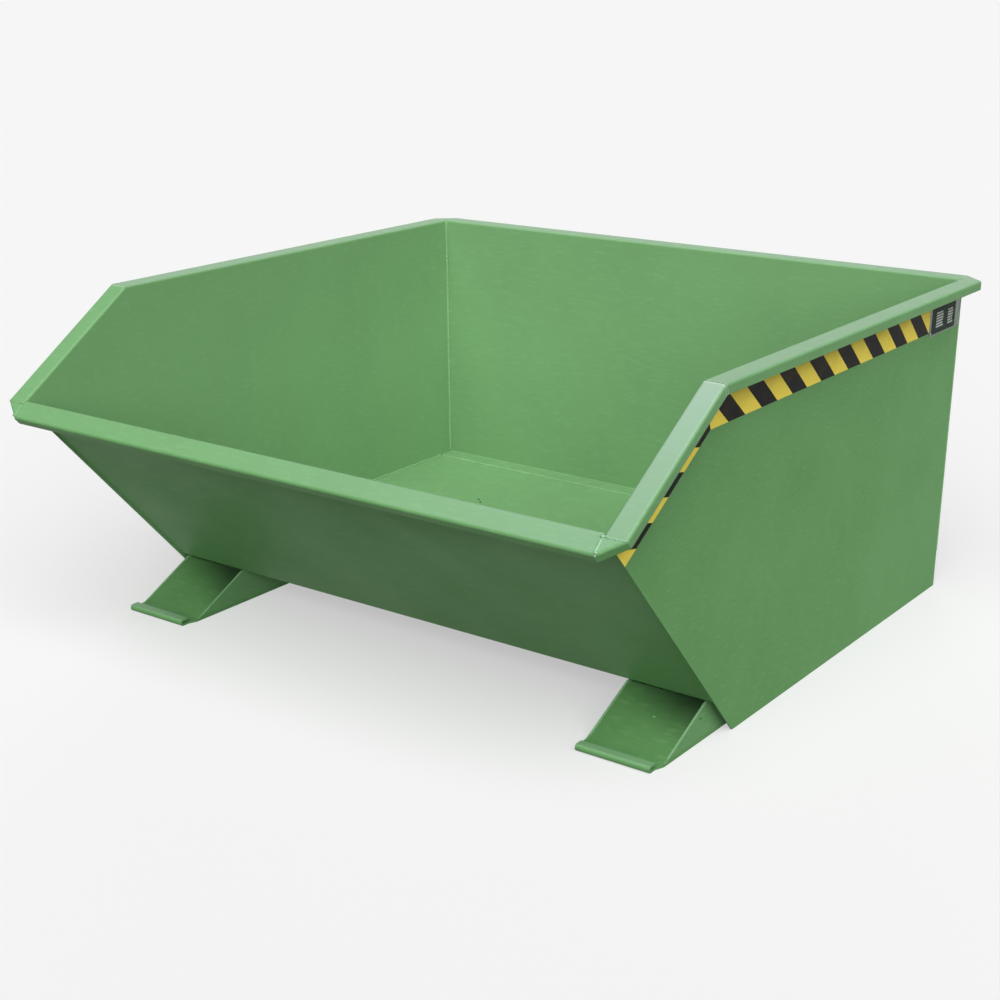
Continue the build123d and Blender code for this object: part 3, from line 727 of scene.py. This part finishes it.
@dataclass
class Bucket(SubAssembly):
    """The tipping bucket: folded sheets, rim, tape, data plate and their welds, in millimetres."""

    body: Body = Body.BUCKET
    slot: str = "bucket_paint"
    rear_y: float = 584.414
    inner_x: float = 597.0
    outer_x: float = 600.0
    sheet: float = 3.0
    rim_top: float = 598.0
    rim_reach: float = 35.4
    rim_fall_ahead: float = 932.4
    rim_fall_deg: float = 32.9
    rim_clear: float = 0.3
    seam_clear: float = 0.4
    wall_slope_deg: float = 48.6
    wall_inset: float = 4.0
    skirt_length: float = 798.3
    floor_top: float = 67.0
    lap: float = 36.0
    lap_leg: float = 5.2
    lap_crown: float = 0.25
    tape_low_drop: float = 77.0
    tape_start: float = 138.0
    corner_leg: float = 4.2
    floor_leg: float = 3.4
    catch_leg: float = 3.0
    crumb_size: Triple = (2.6, 2.2, 1.3)
    crumb_lift: float = 0.6
    crumbs: tuple[Span, ...] = ((-325.0, 252.0), (-312.0, 264.0))
    ink: float = 0.12
    print_end: float = 25.0
    print_margins: Triple = (7.8, 2.2, 1.4)
    print_columns: tuple[Triple, ...] = ((109.0, 78.0, 12.6), (58.0, 35.0, 11.6))
    row_pitch: float = 4.8
    row_height: float = 3.0
    row_shortening: tuple[float, ...] = (0.0, 0.12, 0.08, 0.04, 0.0, 0.12)

    def y(self, ahead: float) -> float:
        """Place along Y of a distance in front of the rear wall."""
        return self.rear_y - ahead

    @property
    def wall_out(self) -> Vector:
        """The way that the sloping front wall faces outside."""
        slope = radians(self.wall_slope_deg)
        return Vector((0, -sin(slope), -cos(slope)))

    @property
    def wall_up(self) -> Vector:
        """The way up the sloping front wall."""
        slope = radians(self.wall_slope_deg)
        return Vector((0, -cos(slope), sin(slope)))

    def front_corner(self) -> Vector:
        """Find where the falling rim meets the sloping front.

        Returns:
            That point, in the middle of the hopper's width.
        """
        fall = tan(radians(self.rim_fall_deg))
        slope = tan(radians(self.wall_slope_deg))
        overhang = self.rim_fall_ahead - self.skirt_length
        height = (self.rim_top + overhang * fall) / (1 + fall / slope)
        return Vector((0, self.y(self.skirt_length + height / slope), height))

    def sheet_paint(self) -> SprayedEnamel:
        """Mix the sheets' enamel, with the rims outside the walls and the rim's seams.

        Returns:
            The finish.
        """
        fall = radians(self.rim_fall_deg)
        normal = Vector((0.0, -1.0 - cos(fall), -sin(fall))).normalized()
        turn = Vector((0.0, self.y(self.rim_fall_ahead), self.rim_top))
        mitre = CutPlane(normal, normal.dot(turn))
        side_rim = CutPlane(RIGHT, self.outer_x + self.seam_clear)
        rear_rim = CutPlane(BACK, self.rear_y + self.seam_clear)
        seams = ((mitre, side_rim), (CutPlane(BACK, self.rear_y), side_rim),
                 (CutPlane(RIGHT, self.inner_x), rear_rim))
        front = self.wall_out.dot(self.front_corner()) - self.wall_inset - self.sheet
        rims = (CutPlane(RIGHT, self.inner_x + self.rim_clear),
                CutPlane(BACK, self.rear_y - self.sheet + self.rim_clear),
                CutPlane(self.wall_out, front + self.rim_clear))
        return SprayedEnamel("green_alkyd_enamel_bucket", *GREEN, seams=seams, rims=rims,
                             level_behind=mitre, scouring=0.11)

    def make_finishes(self) -> None:
        """Make the bucket's own finishes."""
        fall = radians(self.rim_fall_deg)
        low = self.tape_low_drop
        level_start = (self.y(self.tape_start), self.rim_top - low)
        fall_start = (self.y(self.rim_fall_ahead) + low * sin(fall),
                      self.rim_top - low * cos(fall))
        made = {
            # Enamel on the sheets: dull green, with a painted sheen on the rims, and the inside
            # painted paler as painted light.
            "paint": self.sheet_paint(),
            # Enamel over a weld bead: paler than the sheets, partly thin paint on the ripples and
            # partly a painted highlight, with a brighter sheen.
            "bead": SprayedEnamel(
                "green_alkyd_enamel_weld", "#77A271", "#84AE7E", "#6E9968", peel_mm=1.5,
                roughness=(0.40, 0.50), specular=0.15),
            # Enamel over the rough corner beads on the right, paler as a painted highlight.
            "bright": SprayedEnamel(
                "green_alkyd_enamel_rubbed_weld", "#8CB692", "#A3C7A7", "#7BA780", peel_mm=1.5,
                roughness=(0.34, 0.44), specular=0.35),
            # Dried mud: a dark dull brown-green crumb.
            "mud": GrainedSolid(
                "dried_mud", "#47613F", "#364B2F", grain_mm=(1.5, 1.5, 1.5), relief_mm=0.2,
                roughness=(0.85, 0.95), specular=0.2),
            # Hazard tape that was pulled a little longer and more crooked towards the front.
            TapeRun.LEVEL.value: StripedVinyl(
                "hazard_tape_pvc_level", level_start, slope_deg=0.0, first_bar_mm=45.0,
                bar_mm=45.0, bar_growth_mm=0.2, lean=1.03, lean_growth=0.00022),
            # Hazard tape that was stuck on straight.
            TapeRun.FALLING.value: StripedVinyl(
                "hazard_tape_pvc_falling", fall_start, slope_deg=self.rim_fall_deg,
                first_bar_mm=58.1, bar_mm=48.75),
            # Anodised aluminium, brushed: a soft grey with fine lines up the plate, drawn 2 mm
            # wide, which is coarser than real ones, so that they show.
            "plate": GrainedSolid(
                "data_plate_anodised_aluminium", "#848B83", "#727A72",
                grain_mm=(40.0, 2.0, 40.0), relief_mm=0.01, roughness=(0.42, 0.56),
                metallic=1.0),
            # Screen-printed inks: flat green-black, and a pale grey that breaks up a little.
            "field": GrainedSolid(
                "data_plate_black_ink", "#232F28", "#1A241E", grain_mm=(5.0, 5.0, 5.0),
                relief_mm=0.01, roughness=(0.5, 0.65), specular=0.1),
            "mark": GrainedSolid(
                "data_plate_pale_ink", "#C2CAC0", "#A6B0A6", grain_mm=(3.0, 3.0, 3.0),
                relief_mm=0.01, roughness=(0.5, 0.65), specular=0.2),
            # Aluminium rivet heads, dulled by the weather.
            "rivet": GrainedSolid(
                "rivet_aluminium", "#8A908A", "#7C827D", grain_mm=(1.2, 1.2, 1.2),
                relief_mm=0.01, roughness=(0.5, 0.65), metallic=1.0),
        }
        self.finishes = {use: finish.material() for use, finish in made.items()}

    def finish_of(self, node: str) -> str:
        """Say which finish a modelled node has: its tape run's, its own, or paint."""
        own = {"data_plate": "plate", "data_plate_rivets": "rivet"}.get(node, "paint")
        return node.rsplit("_", 1)[1] if node.startswith("hazard_tape") else own

    def build(self) -> None:
        """Lay the welds, print the data plate and drop the mud."""
        for side in Side:
            self.weld_side(side)
            self.weld_front_corner(side)
        self.weld_lap()
        self.weld_catch_plate()
        self.print_data_plate()
        self.drop_mud()

    def weld_side(self, side: Side) -> None:
        """Weld a side sheet to the rear wall, inside and outside, and to the floor and the slope.

        Args:
            side: The sheet's side.
        """
        word = side.name.lower()
        x = side.value * self.inner_x
        inward = RIGHT * -side.value
        low = Vector((x, self.y(self.sheet), self.floor_top + self.sheet))
        high = Vector((x, self.y(self.sheet), self.rim_top - self.sheet))
        corner = WeldRun.fillet(low, high, inward, FORWARD, self.corner_leg, bulge=0.12,
                                unevenness=0.08, ripple_size=0.06)
        self.weld(f"weld_rear_corner_{word}", [corner], seed=11)
        slope = radians(self.wall_slope_deg)
        wall_foot = self.skirt_length - (self.wall_inset + self.sheet) / sin(slope)
        bend = wall_foot + self.floor_top / tan(slope)
        lap_edge = Vector((x, self.y(self.lap), self.floor_top))
        foot = Vector((x, self.y(bend), self.floor_top))
        rise = self.front_corner().z - self.floor_top
        top = foot + self.wall_up * (rise / sin(slope) - self.sheet)
        runs = [WeldRun.fillet(start, end, inward, away, self.floor_leg, bulge=0.15,
                               ripple_size=0.10)
                for start, end, away in ((lap_edge, foot, UP), (foot, top, -self.wall_out))]
        self.weld(f"weld_floor_and_slope_{word}", runs, seed=12)
        low = Vector((side.value * self.outer_x, self.rear_y, self.floor_top + self.sheet))
        high = Vector((low.x, low.y, self.rim_top - 2 * self.sheet))
        outer = WeldRun.fillet(low, high, FORWARD, inward, self.corner_leg, bulge=-0.62,
                               ripple_size=0.08, unevenness=0.08)
        self.weld(f"weld_outer_corner_{word}", [outer], seed=14)

    def weld_lap(self) -> None:
        """Lay a long low fillet along the front edge of the rear wall's lap on the floor."""
        reach = self.inner_x - self.floor_leg
        start, end = (Vector((x, self.y(self.lap), self.floor_top)) for x in (-reach, reach))
        run = WeldRun(start, end, FORWARD * self.lap_leg, UP * (self.sheet + self.lap_crown),
                      (FORWARD + UP) * self.lap_crown, ripple_mm=9.0, unevenness=0.06,
                      ripple_size=0.06)
        self.weld("weld_floor_lap", [run], seed=15)

    def drop_mud(self) -> None:
        """Drop two crumbs of dried mud on the floor, left of the middle."""
        drops = [WeldDrop(Vector((x, self.y(ahead), self.floor_top + self.crumb_lift)),
                          Vector(self.crumb_size), unevenness=0.3) for x, ahead in self.crumbs]
        self.weld("mud_crumbs", drops, seed=16, finish="mud")

    def weld_front_corner(self, side: Side) -> None:
        """Weld a front corner piece across the front rim, its lip and the falling rim's end.

        Args:
            side: The corner's side.
        """
        across = RIGHT * side.value
        out, rim_up = self.wall_out, self.wall_up
        root = self.front_corner() + across * self.inner_x
        fold = root + out * (self.rim_reach - self.wall_inset)
        flat_half, lip_half, end_half = 2.6, 3.4, 1.9
        runs = [
            WeldRun(root + out, fold - out * 4.5, across * flat_half, across * -flat_half,
                    rim_up * 1.1, ripple_mm=4.0, unevenness=0.3),
            WeldRun(fold - out * 5.5, fold - out * 0.2 - rim_up * 5.0, across * lip_half,
                    across * -lip_half, (rim_up + out) * 0.9, ripple_mm=3.5, unevenness=0.35),
            WeldRun(root + across * 2.0, root + across * (self.rim_reach + 1.0), out * end_half,
                    out * -end_half, rim_up, ripple_mm=4.5, unevenness=0.4),
            WeldDrop(root + across * 0.5 + rim_up * 0.2, Vector((3.8, 3.2, 2.3))),
            WeldDrop(root + across * 8.0 + rim_up * 0.2, Vector((3.4, 2.4, 1.6))),
            WeldDrop(fold - out * 5.0 + across * 1.5, Vector((3.8, 2.8, 2.2)))]
        # The right corner's beads get the painted highlight.
        self.weld(f"weld_front_corner_{side.name.lower()}", runs, seed=20 + side.value,
                  finish="bright" if side is Side.RIGHT else "bead")

    def weld_catch_plate(self) -> None:
        """Lay a fillet weld round the catch plate on the rear wall."""
        low, high = in_mm(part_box("catch_plate"))
        corners = [Vector((x, low.y, z)) for x, z in (
            (low.x, low.z), (high.x, low.z), (high.x, high.z), (low.x, high.z))]
        runs = [WeldRun.fillet(a, b, BACK.cross((b - a).normalized()), BACK, self.catch_leg)
                for a, b in zip(corners, corners[1:] + corners[:1])]
        self.weld("weld_catch_plate", runs, seed=31)

    def print_data_plate(self) -> None:
        """Print plain bars on the data plate: a dark field with two ragged columns, no words."""
        low, high = in_mm(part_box("data_plate"))
        face, top = high.x, high.x + self.ink
        end, foot, head = self.print_margins
        skins = [slab((face, low.y + end, low.z + foot),
                      (top, self.y(self.print_end), high.z - head))]
        for near, far, column_foot in self.print_columns:
            for row, shortening in enumerate(self.row_shortening):
                z = low.z + column_foot + row * self.row_pitch
                short = (near - far) * shortening
                skins.append(slab((top, self.y(near), z), (
                    top + self.ink, self.y(far + short), z + self.row_height)))
        add_piece("data_plate_print", skins, Body.BUCKET,
                  [self.finishes["field"], self.finishes["mark"]],
                  [0] + [1] * (len(skins) - 1), smooth=False)


@dataclass
class ForkBase(SubAssembly):
    """The standing base: fork pockets, cross tubes and the latch's bracket, in millimetres."""

    body: Body = Body.BASE
    slot: str = "base_paint"
    weld_leg: float = 4.0
    bracket_leg: float = 3.2
    ramp_top: float = 62.0
    ramp_right_x: tuple[tuple[Side, float], ...] = ((Side.LEFT, -433.0), (Side.RIGHT, 581.0))
    edged: tuple[str, ...] = ("foot_plate", "outer_cheek", "inner_cheek")
    # How the ramps' painted shade leans across each ramp, and how far it reaches in millimetres.
    painted_shade_lean: float = 0.22
    painted_shade_reach: float = 54.0
    spatter_place: Triple = (514.3, -314.6, 37.7)
    spatter_size: Triple = (4.2, 3.2, 1.8)

    def make_finishes(self) -> None:
        """Make the base's own finishes."""
        made = {
            # Enamel on the base: dull green, with grime near the ground.
            "paint": SprayedEnamel("green_alkyd_enamel_base", *GREEN, grime_most=0.3),
            # Enamel on the foot plates and cheeks, with a painted sheen on every face that looks
            # up, such as the cut edges and the top of the rolled lip.
            "edged": SprayedEnamel(
                "green_alkyd_enamel_rubbed_edges", *GREEN, grime_most=0.2,
                rims=(CutPlane(RIGHT, 0.0),), rim_above_mm=8.0, painted_sheen_peak=0.0,
                least_painted_sheen=0.18),
            # Enamel over a weld bead: a little paler, with a brighter sheen.
            "bead": SprayedEnamel(
                "green_alkyd_enamel_base_weld", "#6BA064", "#78AB70", "#62965C", peel_mm=1.5,
                specular=0.3),
            # Zinc-plated steel: bright grey with a cloudy bloom.
            "zinc_steel": GrainedSolid(
                "zinc_plated_steel", "#B7B9B6", "#9C9F9E", grain_mm=(4.0, 4.0, 4.0),
                relief_mm=0.01, roughness=(0.28, 0.42), metallic=1.0),
            # Moulded natural rubber: near black, dull and slightly dusty.
            "rubber_pad": GrainedSolid(
                "moulded_rubber", "#20201E", "#2E2D2A", grain_mm=(1.5, 1.5, 1.5),
                relief_mm=0.06, roughness=(0.75, 0.9), ior=1.52),
        }
        # Enamel on the ramps, darker as a painted shade of the bucket's overhang, with a painted
        # shade that deepens towards the upper right of each ramp, under the front wall's edge.
        for side, right_x in self.ramp_right_x:
            word = side.name.lower()
            corner = self.ramp_top + self.painted_shade_lean * right_x
            made[f"ramp_plate_{word}"] = SprayedEnamel(
                f"green_alkyd_enamel_trodden_{word}", "#57844F", "#628F58", "#4E7948",
                grime="#182A19", grime_most=1.0, grime_way=(self.painted_shade_lean, 0.0, 1.0),
                grime_and_shade_from_mm=corner - self.painted_shade_reach, grime_and_shade_full_mm=corner,
                grime_and_shade_patchiness=0.1)
        self.finishes = {use: finish.material() for use, finish in made.items()}

    def finish_of(self, node: str) -> str:
        """Say which finish a modelled node has: painted sheen on edged plates, its own, its
        slot's, or paint.
        """
        uses = ("edged",) if node.startswith(self.edged) else (node, SLOTS[node], "paint")
        return next(use for use in uses if use in self.finishes)

    def build(self) -> None:
        """Lay the base's welds."""
        self.weld_tubes()
        self.weld_bracket()
        self.spatter_ramp()

    def spatter_ramp(self) -> None:
        """Leave a drop of weld spatter on the right ramp."""
        drop = WeldDrop(Vector(self.spatter_place), Vector(self.spatter_size))
        self.weld("weld_spatter_ramp_right", [drop], seed=43, finish="paint")

    def weld_tubes(self) -> None:
        """Lay fillet welds where the cross tubes meet the inner cheeks."""
        for tube in ("front_cross_tube", "rear_cross_tube"):
            low, high = in_mm(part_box(tube))
            edges = (((low.y, high.z), (high.y, high.z), UP),
                     ((high.y, low.z), (high.y, high.z), BACK),
                     ((low.y, low.z), (low.y, high.z), FORWARD))
            runs = [WeldRun.fillet(Vector((x, *start)), Vector((x, *end)), inward, outward,
                                   self.weld_leg)
                    for x, inward in ((low.x, RIGHT), (high.x, -RIGHT))
                    for start, end, outward in edges]
            self.weld(f"weld_{tube}", runs, seed=41)

    def weld_bracket(self) -> None:
        """Lay fillet welds where the latch bracket's face meets the rear cross tube's edges."""
        low, high = in_mm(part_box("latch_bracket"))
        tube_low, tube_high = in_mm(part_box("rear_cross_tube"))
        runs = [WeldRun.fillet(Vector((low.x, tube_high.y, z)), Vector((high.x, tube_high.y, z)),
                               FORWARD, away, self.bracket_leg)
                for z, away in ((tube_high.z, UP), (tube_low.z, -UP))]
        self.weld("weld_latch_bracket", runs, seed=42)


@dataclass
class Latch(SubAssembly):
    """The swing hook that locks the bucket, with its hand grip, in millimetres."""

    body: Body = Body.LATCH
    slot: str = "grip_plastic"
    grip_ribs: int = 10
    rib_depth: float = 0.11
    end_round: float = 6.0
    end_size: float = 0.55
    ring_step: float = 0.7
    spokes: int = 40
    squareness: float = 4.0

    def make_finishes(self) -> None:
        """Make the finishes of the hook and the grip."""
        # Enamel on the hook: the same dull green, clean.
        paint = SprayedEnamel("green_alkyd_enamel_latch", *GREEN)
        # Dipped PVC grip: soft black with a dull sheen.
        grip = GrainedSolid(
            "dipped_pvc_grip", "#1D1D1C", "#282827", grain_mm=(1.8, 1.8, 1.8), relief_mm=0.05,
            roughness=(0.45, 0.6), ior=1.53)
        self.finishes = {"latch_hook": paint.material(), "latch_grip": grip.material()}

    def build(self) -> None:
        """Model the dipped grip with finger ribs and rounded ends, for the plain sleeve."""
        low, high = in_mm(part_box("latch_grip"))
        middle, half = (low + high) / 2, (high - low) / 2
        lengths = round(2 * half.x / self.ring_step)
        points: list[Vector] = []
        for ring in range(lengths + 1):
            x = low.x + 2 * half.x * ring / lengths
            inset = min(x - low.x, high.x - x)
            rib = 1.0 - self.rib_depth * sin(pi * self.grip_ribs * ring / lengths) ** 2
            if inset < self.end_round:
                swell = sqrt(1.0 - (1.0 - inset / self.end_round) ** 2)
                rib *= self.end_size + (1.0 - self.end_size) * swell
            for spoke in range(self.spokes):
                turn = tau * spoke / self.spokes
                y, z = (copysign(abs(part) ** (2 / self.squareness), part) * rib
                        for part in (cos(turn), sin(turn)))
                points.append(Vector((x, middle.y + half.y * y, middle.z + half.z * z)))
        grip = add_piece("latch_grip_ribbed", [(points, tube_faces(lengths, self.spokes))],
                         self.body, [self.finishes["latch_grip"]])
        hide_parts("latch_grip")


def way_to(azimuth_deg: float, elevation_deg: float) -> Vector:
    """Point from the hopper, turned from the front towards the right and then raised."""
    turn, rise = radians(azimuth_deg), radians(elevation_deg)
    return Vector((sin(turn) * cos(rise), -cos(turn) * cos(rise), sin(rise)))


@dataclass(frozen=True)
class Lamp:
    """One broad far lamp: its light in watts per square metre, its width and its place."""

    name: str
    strength: float
    width_deg: float
    azimuth_deg: float
    elevation_deg: float
    in_gloss: bool = True

    def hang(self) -> None:
        """Hang the lamp."""
        lamp = bpy.data.lights.new(self.name, "SUN")
        lamp.energy = self.strength
        lamp.angle = radians(self.width_deg)
        item = bpy.data.objects.new(self.name, lamp)
        source = way_to(self.azimuth_deg, self.elevation_deg)
        item.rotation_euler = source.to_track_quat("Z", "Y").to_euler()
        item.visible_glossy = self.in_gloss
        bpy.context.scene.collection.objects.link(item)


@dataclass
class Studio:
    """Plain pale floor, soft light and the photograph's camera. Places are millimetres."""

    floor_side: float = 400000.0
    floor_drop: float = 0.4
    floor_colour: str = "#E7E7E7"
    floor_glow: float = 0.5
    yard_colour: str = "#555555"
    backdrop_colour: str = "#F6F6F6"
    sky_colour: str = "#FFFFFF"
    sky_strength: float = 0.04
    lamps: tuple[Lamp, ...] = (
        Lamp("key_light", strength=4.85, width_deg=80.0, azimuth_deg=37.0, elevation_deg=43.0),
        Lamp("fill_light", strength=1.5, width_deg=30.0, azimuth_deg=212.0, elevation_deg=7.0,
             in_gloss=False))
    camera_place: Triple = (1754.2, -2378.2, 1176.4)
    camera_azimuth_deg: float = 36.148
    camera_elevation_deg: float = 22.363
    camera_roll_deg: float = -0.185
    focal_px: float = 1680.3
    centre_px: Span = (516.63, 627.91)

    def build(self) -> None:
        """Make the floor, the lights and the camera."""
        bpy.context.scene.view_settings.view_transform = "Standard"
        self.build_floor()
        self.build_sky()
        for lamp in self.lamps:
            lamp.hang()
        self.build_camera()

    def build_floor(self) -> None:
        """Lay the floor."""
        half = self.floor_side / 2 * MM
        corners = [(x * half, y * half, -self.floor_drop * MM)
                   for x, y in ((-1, -1), (1, -1), (1, 1), (-1, 1))]
        mesh = bpy.data.meshes.new("studio_floor")
        mesh.from_pydata(corners, [], [(0, 1, 2, 3)])
        floor = bpy.data.objects.new("studio_floor", mesh)
        bpy.context.scene.collection.objects.link(floor)
        mesh.materials.append(self.paper())

    def paper(self) -> Material:
        """Make matt paper that looks pale, and throws back as little light as a concrete yard.

        Returns:
            Its material.
        """
        material, tree = new_material("studio_paper")
        path = add(tree, "LightPath")
        colour = add(tree, "Mix", path.outputs["Is Diffuse Ray"], linear(self.floor_colour),
                     linear(self.yard_colour), data_type="RGBA")
        lit = add(tree, "BsdfDiffuse", colour)
        pale = add(tree, "Emission", linear(self.backdrop_colour), named={"Strength": 1.0})
        share = add(tree, "Math.MULTIPLY", self.seen(tree, path), self.floor_glow)
        add(tree, "OutputMaterial", add(tree, "MixShader", share, lit, pale))
        return material

    def seen(self, tree: Tree, path: Node) -> Node:
        """Tell the rays that look at the studio from those that light the hopper.

        Args:
            tree: Tree of the floor or the sky.
            path: Its Light Path node.

        Returns:
            Node that is 1 for the camera's rays and for gloss and glass.
        """
        seen = path.outputs["Is Camera Ray"]
        for ray in ("Is Glossy Ray", "Is Transmission Ray"):
            seen = add(tree, "Math.MAXIMUM", seen, path.outputs[ray])
        return seen

    def build_sky(self) -> None:
        """Make a soft sky, pale where the camera or a gloss sees it."""
        world = bpy.data.worlds.new("studio_sky")
        bpy.context.scene.world = world
        world.use_nodes = True
        tree = world.node_tree
        tree.nodes.clear()
        seen = self.seen(tree, add(tree, "LightPath"))
        sky = add(tree, "Background", linear(self.sky_colour), self.sky_strength)
        pale = add(tree, "Background", linear(self.backdrop_colour), named={"Strength": 1.0})
        add(tree, "OutputWorld", add(tree, "MixShader", seen, sky, pale))

    def build_camera(self) -> None:
        """Set the camera where the photograph was taken from."""
        back = way_to(self.camera_azimuth_deg, self.camera_elevation_deg)
        roll = radians(self.camera_roll_deg)
        level = (-back).cross(UP).normalized()
        upright = level.cross(-back)
        right = level * cos(roll) + upright * sin(roll)
        up = upright * cos(roll) - level * sin(roll)
        data = bpy.data.cameras.new("photo_camera")
        data.sensor_width = SENSOR_MM
        data.lens = self.focal_px / IMAGE_SIDE * SENSOR_MM
        data.shift_x = 0.5 - self.centre_px[0] / IMAGE_SIDE
        data.shift_y = self.centre_px[1] / IMAGE_SIDE - 0.5
        data.clip_end = self.floor_side * MM
        camera = bpy.data.objects.new("photo_camera", data)
        turned = Matrix((right, up, back)).transposed().to_4x4()
        turned.translation = Vector(self.camera_place) * MM
        camera.matrix_world = turned
        bpy.context.scene.collection.objects.link(camera)
        bpy.context.scene.camera = camera


def main() -> None:
    """Build every sub-assembly in order."""
    logging.basicConfig(level=logging.INFO, format="%(name)s: %(message)s")
    for assembly in (Bucket(), ForkBase(), Latch()):
        assembly.make_finishes()
        assembly.dress()
        assembly.build()
    Studio().build()


if __name__ == "__main__":
    main()
